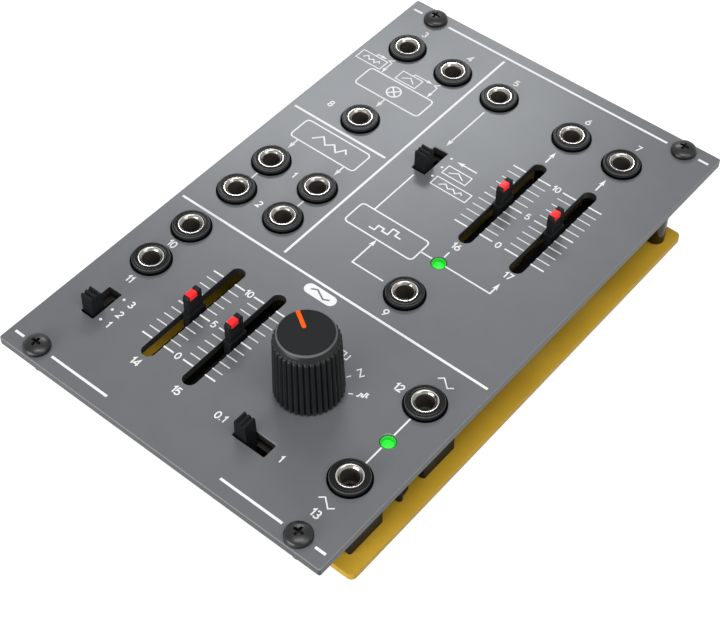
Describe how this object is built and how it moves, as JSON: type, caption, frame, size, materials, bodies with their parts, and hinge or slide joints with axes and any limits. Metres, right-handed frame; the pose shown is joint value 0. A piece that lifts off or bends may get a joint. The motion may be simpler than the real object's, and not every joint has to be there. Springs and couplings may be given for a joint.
{
  "type": "eurorack modulation module",
  "caption": "Eurorack module: grey front panel with patch jacks, slide controls, slide switches and a ribbed selector knob over a circuit board.",
  "frame": {"origin": "on the panel's centre axis, at the rim of the power header that the module stands on", "axes": "+X to the right along the panel's width, +Y up the panel's length, +Z out of the panel's face"},
  "size_m": [0.0808, 0.1284, 0.0407],
  "materials": {
    "panel": "satin grey coat with white printing",
    "board": "glossy amber resin board",
    "screw": "black plated steel",
    "standoff": "polished",
    "jack": "black body, polished threaded sleeve",
    "nut": "black coated, smooth and round",
    "slider_body": "black",
    "slider_lever": "black satin",
    "slider_window": "clear red, glossy",
    "switch_body": "dark brown",
    "switch_lever": "black satin",
    "rotary_body": "black",
    "knob": "black satin with an orange pointer line",
    "led": "lit green lens",
    "header": "black, bright pins"
  },
  "bodies": {
    "module": {"front_panel": "panel", "circuit_board": "board", "panel_screw_1": "screw", "panel_screw_2": "screw", "panel_screw_3": "screw", "panel_screw_4": "screw", "standoff": "standoff", "jack_01": "jack", "jack_02": "jack", "jack_03": "jack", "jack_04": "jack", "jack_05": "jack", "jack_06": "jack", "jack_07": "jack", "jack_08": "jack", "jack_09": "jack", "jack_10": "jack", "jack_11": "jack", "jack_12": "jack", "jack_13": "jack", "jack_14": "jack", "jack_15": "jack", "jack_nut_01": "nut", "jack_nut_02": "nut", "jack_nut_03": "nut", "jack_nut_04": "nut", "jack_nut_05": "nut", "jack_nut_06": "nut", "jack_nut_07": "nut", "jack_nut_08": "nut", "jack_nut_09": "nut", "jack_nut_10": "nut", "jack_nut_11": "nut", "jack_nut_12": "nut", "jack_nut_13": "nut", "jack_nut_14": "nut", "jack_nut_15": "nut", "slider_body_1": "slider_body", "slider_body_2": "slider_body", "slider_body_3": "slider_body", "slider_body_4": "slider_body", "switch_body_1": "switch_body", "switch_body_2": "switch_body", "switch_body_3": "switch_body", "rotary_body": "rotary_body", "led_1": "led", "led_2": "led", "power_header": "header"},
    "fader_1": {"slider_lever_1": "slider_lever", "slider_window_1": "slider_window"},
    "fader_2": {"slider_lever_2": "slider_lever", "slider_window_2": "slider_window"},
    "fader_3": {"slider_lever_3": "slider_lever", "slider_window_3": "slider_window"},
    "fader_4": {"slider_lever_4": "slider_lever", "slider_window_4": "slider_window"},
    "toggle_1": {"switch_lever_1": "switch_lever"},
    "toggle_2": {"switch_lever_2": "switch_lever"},
    "toggle_3": {"switch_lever_3": "switch_lever"},
    "selector": {"selector_knob": "knob"}
  },
  "joints": [
    {"name": "fader_1_slide", "type": "slide", "parent": "module", "child": "fader_1", "axis": [0, 1, 0], "range_m": [-0.01, 0.01]},
    {"name": "fader_2_slide", "type": "slide", "parent": "module", "child": "fader_2", "axis": [0, 1, 0], "range_m": [-0.01, 0.01]},
    {"name": "fader_3_slide", "type": "slide", "parent": "module", "child": "fader_3", "axis": [0, 1, 0], "range_m": [-0.01, 0.01]},
    {"name": "fader_4_slide", "type": "slide", "parent": "module", "child": "fader_4", "axis": [0, 1, 0], "range_m": [-0.01, 0.01]},
    {"name": "toggle_1_slide", "type": "slide", "parent": "module", "child": "toggle_1", "axis": [0, 1, 0], "range_m": [0, 0.004]},
    {"name": "toggle_2_slide", "type": "slide", "parent": "module", "child": "toggle_2", "axis": [0, 1, 0], "range_m": [0, 0.004]},
    {"name": "toggle_3_slide", "type": "slide", "parent": "module", "child": "toggle_3", "axis": [1, 0, 0], "range_m": [0, 0.004]},
    {"name": "selector_turn", "type": "hinge", "parent": "module", "child": "selector", "pos_m": [0.0134, -0.0358, 0.03], "axis": [0, 0, 1], "range_deg": [-120, 0]}
  ]
}
